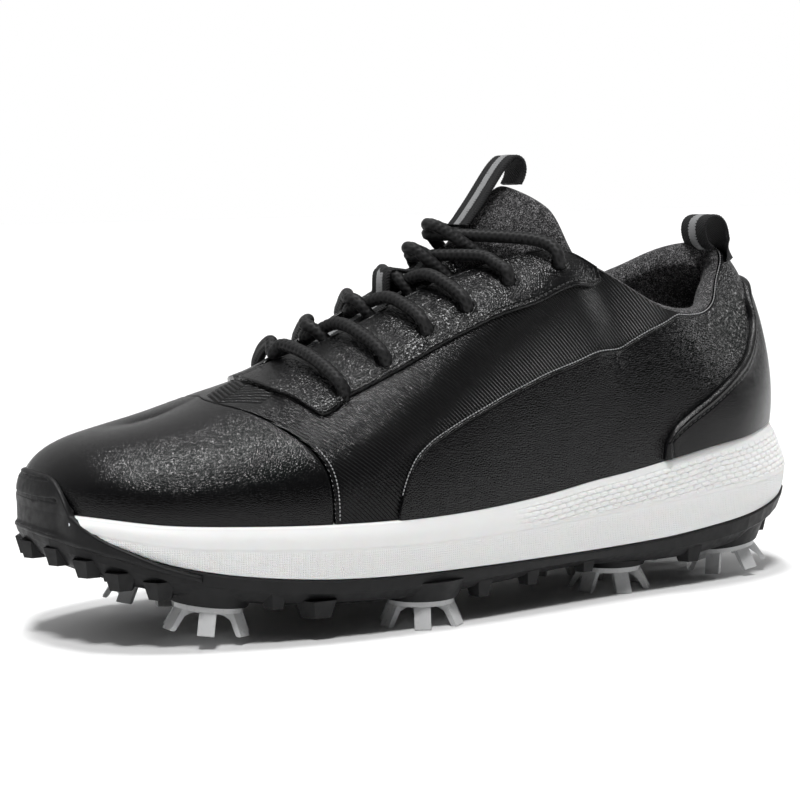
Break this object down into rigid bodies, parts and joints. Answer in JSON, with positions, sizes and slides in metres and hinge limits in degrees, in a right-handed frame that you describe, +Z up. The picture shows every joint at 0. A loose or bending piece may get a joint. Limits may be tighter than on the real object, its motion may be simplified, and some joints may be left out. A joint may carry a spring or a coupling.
{
  "type": "golf shoe",
  "caption": "Left lace-up golf shoe: leather panels on a cupped foam midsole, rubber outsole with lugs and twist-in cleats, padded collar, tongue, round lace and pull loops.",
  "frame": {"origin": "middle of the shoe's bounding box at ground level, under the cleat tips", "axes": "+X from toe to heel, +Y from the outer (lateral) side to the inner (medial) side, +Z up"},
  "size_m": [0.3026, 0.1091, 0.1596],
  "materials": {
    "rubber": "satin moulded rubber",
    "foam": "matte moulded foam",
    "shank": "matte",
    "board": "matte fibre board",
    "sockliner": "knit over foam",
    "receptacle": "matte",
    "leather": "satin pebbled grain",
    "stiffener": "matte",
    "lining": "matte knit",
    "collar_foam": "open-cell foam",
    "knit": "heather knit",
    "tongue_face": "satin ribbed",
    "webbing": "woven webbing",
    "lace": "round braid",
    "aglet": "gloss film",
    "cleat": "satin moulded"
  },
  "bodies": {
    "shoe": {"outsole": "rubber", "midsole": "foam", "shank_plate": "shank", "insole_board": "board", "sockliner": "sockliner", "receptacles": "receptacle", "toe_vamp": "leather", "wrap_outer": "leather", "wrap_inner": "leather", "eyestay_outer": "leather", "eyestay_inner": "leather", "quarter_outer": "leather", "quarter_inner": "leather", "heel_overlay": "leather", "toe_puff": "stiffener", "heel_counter": "stiffener", "vamp_lining": "lining", "lining_outer": "lining", "lining_inner": "lining", "collar_foam": "collar_foam", "collar_lining": "knit", "tongue_body": "knit", "tongue_face": "tongue_face", "tongue_strip": "webbing", "tongue_loop": "webbing", "heel_tab": "webbing", "lace": "lace", "aglets": "aglet"},
    "cleat_front_outer": {"cleat_front_outer": "cleat"},
    "cleat_front_inner": {"cleat_front_inner": "cleat"},
    "cleat_ball_outer": {"cleat_ball_outer": "cleat"},
    "cleat_ball_inner": {"cleat_ball_inner": "cleat"},
    "cleat_heel_outer": {"cleat_heel_outer": "cleat"},
    "cleat_heel_inner": {"cleat_heel_inner": "cleat"},
    "cleat_back_outer": {"cleat_back_outer": "cleat"},
    "cleat_back_inner": {"cleat_back_inner": "cleat"}
  },
  "joints": [
    {"name": "front_outer_twist", "type": "hinge", "parent": "shoe", "child": "cleat_front_outer", "pos_m": [-0.098, -0.0285, 0.013], "axis": [0.1392, 0, 0.9903], "range_deg": [0, 90]},
    {"name": "front_inner_twist", "type": "hinge", "parent": "shoe", "child": "cleat_front_inner", "pos_m": [-0.098, 0.032, 0.013], "axis": [0.1392, 0, 0.9903], "range_deg": [0, 90]},
    {"name": "ball_outer_twist", "type": "hinge", "parent": "shoe", "child": "cleat_ball_outer", "pos_m": [-0.024, -0.038, 0.0092], "axis": [0, 0, 1], "range_deg": [0, 90]},
    {"name": "ball_inner_twist", "type": "hinge", "parent": "shoe", "child": "cleat_ball_inner", "pos_m": [-0.04, 0.035, 0.0092], "axis": [0, 0, 1], "range_deg": [0, 90]},
    {"name": "heel_outer_twist", "type": "hinge", "parent": "shoe", "child": "cleat_heel_outer", "pos_m": [0.064, -0.019, 0.0092], "axis": [0, 0, 1], "range_deg": [0, 90]},
    {"name": "heel_inner_twist", "type": "hinge", "parent": "shoe", "child": "cleat_heel_inner", "pos_m": [0.064, 0.023, 0.0092], "axis": [0, 0, 1], "range_deg": [0, 90]},
    {"name": "back_outer_twist", "type": "hinge", "parent": "shoe", "child": "cleat_back_outer", "pos_m": [0.118, -0.015, 0.012], "axis": [-0.1564, 0, 0.9877], "range_deg": [0, 90]},
    {"name": "back_inner_twist", "type": "hinge", "parent": "shoe", "child": "cleat_back_inner", "pos_m": [0.118, 0.0195, 0.012], "axis": [-0.1564, 0, 0.9877], "range_deg": [0, 90]}
  ]
}
